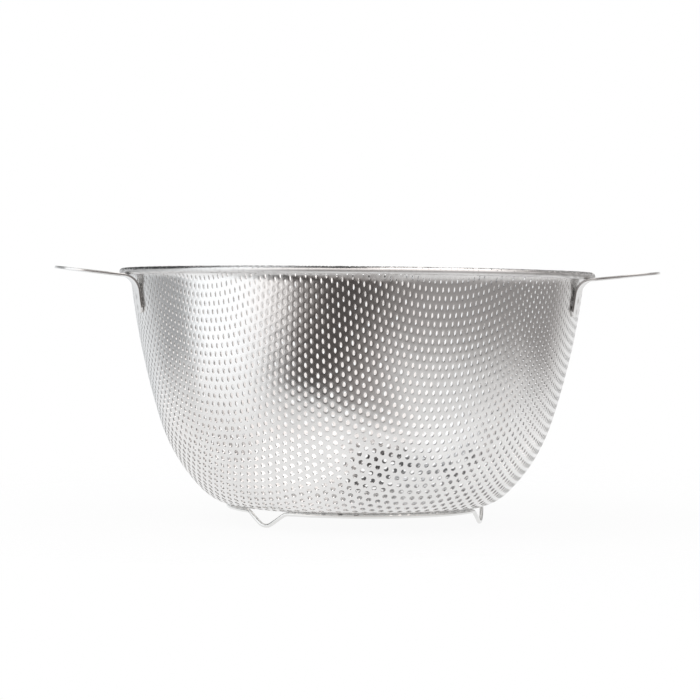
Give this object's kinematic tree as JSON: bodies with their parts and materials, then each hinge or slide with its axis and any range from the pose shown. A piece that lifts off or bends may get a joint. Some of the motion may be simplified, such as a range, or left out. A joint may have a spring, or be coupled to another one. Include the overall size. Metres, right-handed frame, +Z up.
{
  "type": "colander",
  "caption": "Deep round perforated steel bowl for draining food, with a rolled rim, flat loop handles and a wire base ring bent into feet.",
  "frame": {"origin": "on the table, below the bowl's axis, level with the bottoms of the feet", "axes": "+Z up along the bowl's axis; X through both handles; -Y is the side that the picture shows"},
  "size_m": [0.3002, 0.24, 0.1269],
  "materials": {
    "bowl_steel": "bright steel sheet, lightly brushed",
    "wire_steel": "bright drawn wire",
    "handle_steel": "bright steel strip, lightly brushed"
  },
  "bodies": {
    "root": {"bowl": "bowl_steel", "rim_wire": "wire_steel", "left_handle": "handle_steel", "right_handle": "handle_steel", "base_ring": "wire_steel"}
  },
  "joints": []
}
